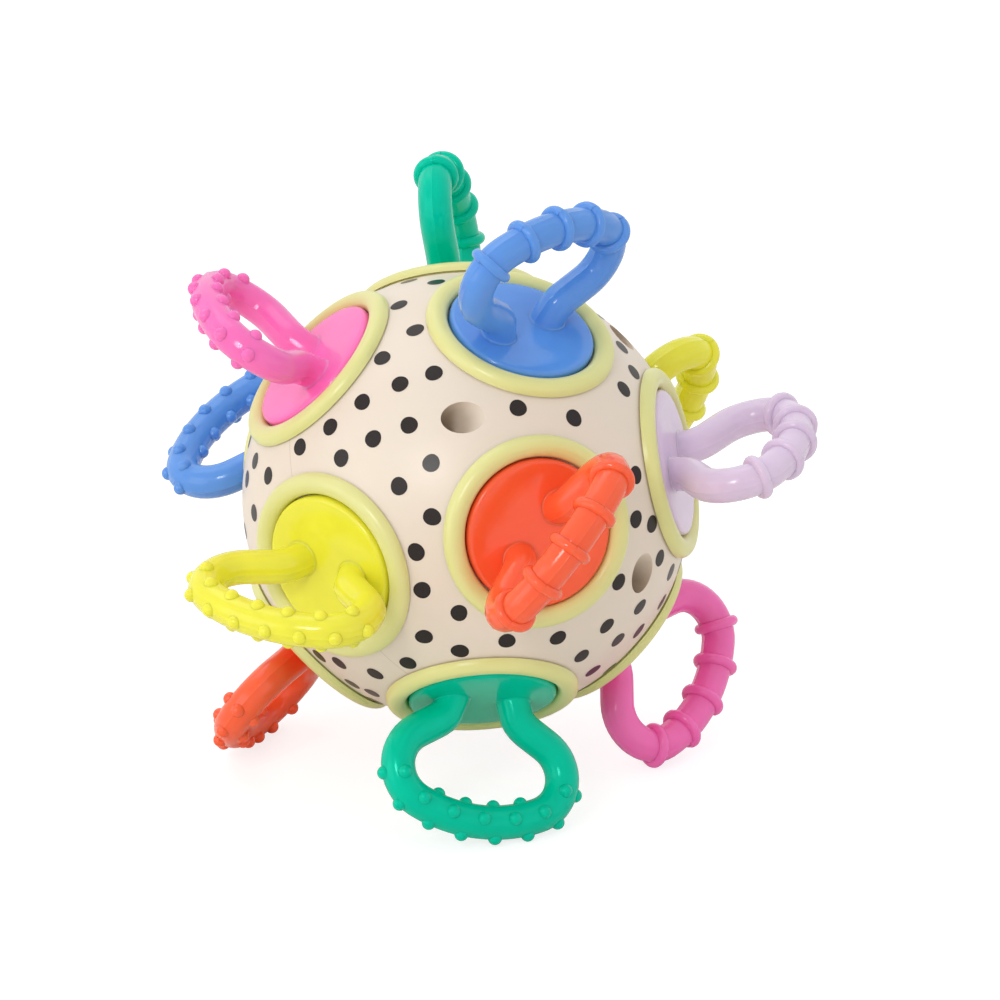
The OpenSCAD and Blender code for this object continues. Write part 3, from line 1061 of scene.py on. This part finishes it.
@dataclass(frozen=True)
class Studio:
    """A white floor, soft lamps and the camera at the photograph's place."""

    floor_z: float = -65.04
    floor_half_m: float = 8.0
    floor_sharp_above: float = 30.0
    # The paper's colour as it lights the ball, and as the camera sees it
    paper_colour: str = "#efedea"
    paper_seen_colour: str = "#fbfbfb"
    # To the camera the floor also glows, so that only the ball's shadow is left on it
    glow_share: float = 0.62
    glow_strength: float = 1.25
    lamps: tuple[Lamp, ...] = (
        Lamp("key", (-480, -1160, 850), 340, 4.6),
        Lamp("left", (-1150, -620, 330), 900, 3.2),
        Lamp("fill", (1100, -900, 300), 1000, 1.0),
        Lamp("top", (-500, 500, 1300), 900, 2.4),
    )
    # The surround's strength goes from dim to full between these two places along Y
    world_near: float = -0.8
    world_far: float = 0.5
    world_dim: float = 0.54
    camera_at: tuple[float, float, float] = (1.782, -1714.033, 706.516)
    camera_turn: tuple[float, float, float] = (67.5711, -1.3397, 0.3539)
    lens: float = 288.0
    clip_end_m: float = 50.0

    def build(self) -> None:
        """Builds the floor, the lamps, the world and the camera."""
        self._add_floor()
        self._add_world()
        for lamp in self.lamps:
            lamp.build()
        self._add_camera()
        bpy.context.scene.view_settings.view_transform = "Standard"

    def _add_camera(self) -> None:
        """Adds the camera and makes it the scene's."""
        camera = bpy.data.cameras.new("camera")
        camera.lens = self.lens
        camera.clip_end = self.clip_end_m
        holder = bpy.data.objects.new("camera", camera)
        holder.location = Vector(self.camera_at) * MM
        holder.rotation_euler = [math.radians(angle) for angle in self.camera_turn]
        bpy.context.scene.collection.objects.link(holder)
        bpy.context.scene.camera = holder

    def _backdrop_rays(self, tree: bpy.types.NodeTree) -> bpy.types.NodeSocket:
        """Gives a socket that is 1 where the camera, a reflection or glass looks at the backdrop.

        Args:
            tree: The node tree.

        Returns:
            The socket.
        """
        ray = add_node(tree, "ShaderNodeLightPath")
        seen = ray.outputs["Is Camera Ray"]
        for other in ("Is Glossy Ray", "Is Transmission Ray"):
            either = add_node(tree, "ShaderNodeMath", {"operation": "MAXIMUM"}, links={"Value": seen})
            tree.links.new(ray.outputs[other], either.inputs[1])
            seen = either.outputs["Value"]
        return seen

    def _add_floor(self) -> None:
        """Adds the floor, white to the camera but for the object's soft shadow."""
        bm = bmesh.new()
        bmesh.ops.create_grid(bm, x_segments=1, y_segments=1, size=self.floor_half_m)
        bmesh.ops.translate(bm, vec=(0, 0, self.floor_z * MM), verts=bm.verts)
        material = bpy.data.materials.new("white_sweep")
        material.use_nodes = True
        tree = material.node_tree
        tree.nodes.clear()
        seen = add_node(tree, "ShaderNodeLightPath").outputs["Is Camera Ray"]
        shade = add_blend(tree, seen, self.paper_colour, self.paper_seen_colour)
        paper = add_node(tree, "ShaderNodeBsdfDiffuse", links={"Color": shade})
        glow = add_node(tree, "ShaderNodeEmission", values={"Strength": self.glow_strength})
        share = add_node(tree, "ShaderNodeMath", {"operation": "MULTIPLY"}, links={"Value": seen})
        share.inputs[1].default_value = self.glow_share
        mixed = add_node(tree, "ShaderNodeMixShader", links={"Fac": share.outputs["Value"]})
        tree.links.new(paper.outputs["BSDF"], mixed.inputs[1])
        tree.links.new(glow.outputs["Emission"], mixed.inputs[2])
        add_node(tree, "ShaderNodeOutputMaterial", links={"Surface": mixed.outputs["Shader"]})
        finished(bm, "floor", material, self.floor_sharp_above)

    def _add_world(self) -> None:
        """Adds a white surround, dim on the camera's side and plain white as a backdrop."""
        world = bpy.data.worlds.new("surround")
        world.use_nodes = True
        bpy.context.scene.world = world
        tree = world.node_tree
        tree.nodes.clear()
        place = add_node(tree, "ShaderNodeTexCoord")
        axes = add_node(tree, "ShaderNodeSeparateXYZ", links={"Vector": place.outputs["Generated"]})
        around = add_node(
            tree,
            "ShaderNodeMapRange",
            values={
                "From Min": self.world_near,
                "From Max": self.world_far,
                "To Min": self.world_dim,
                "To Max": 1.0,
            },
            links={"Value": axes.outputs["Y"]},
        )
        strength = add_node(
            tree,
            "ShaderNodeMix",
            values={"B": 1.0},
            links={"Factor": self._backdrop_rays(tree), "A": around.outputs["Result"]},
        )
        back = add_node(
            tree,
            "ShaderNodeBackground",
            values={"Color": (1.0, 1.0, 1.0, 1.0)},
            links={"Strength": strength.outputs["Result"]},
        )
        add_node(tree, "ShaderNodeOutputWorld", links={"Surface": back.outputs["Background"]})


def main() -> None:
    """Builds the ball's pieces in order, then the studio round them."""
    logging.basicConfig(level=logging.INFO, format="%(relativeCreated)6.0f ms %(name)s %(message)s")
    stance, sizes = Stance(), ShellSizes()
    Shell(stance).dress()
    # The photographed green has hardly any red in it, so its gloss is tinted too
    glosses = {Soft.GREEN: "#6cffe4"}
    rubbers = {colour: SoftRubber(colour, glosses.get(colour, WHITE)).material() for colour in Soft}
    for port in PORTS:
        SoftLoop(port, stance, sizes, rubbers[port.colour]).build()
    PrintedDots(stance, sizes).build()
    Studio().build()


if __name__ == "__main__":
    main()
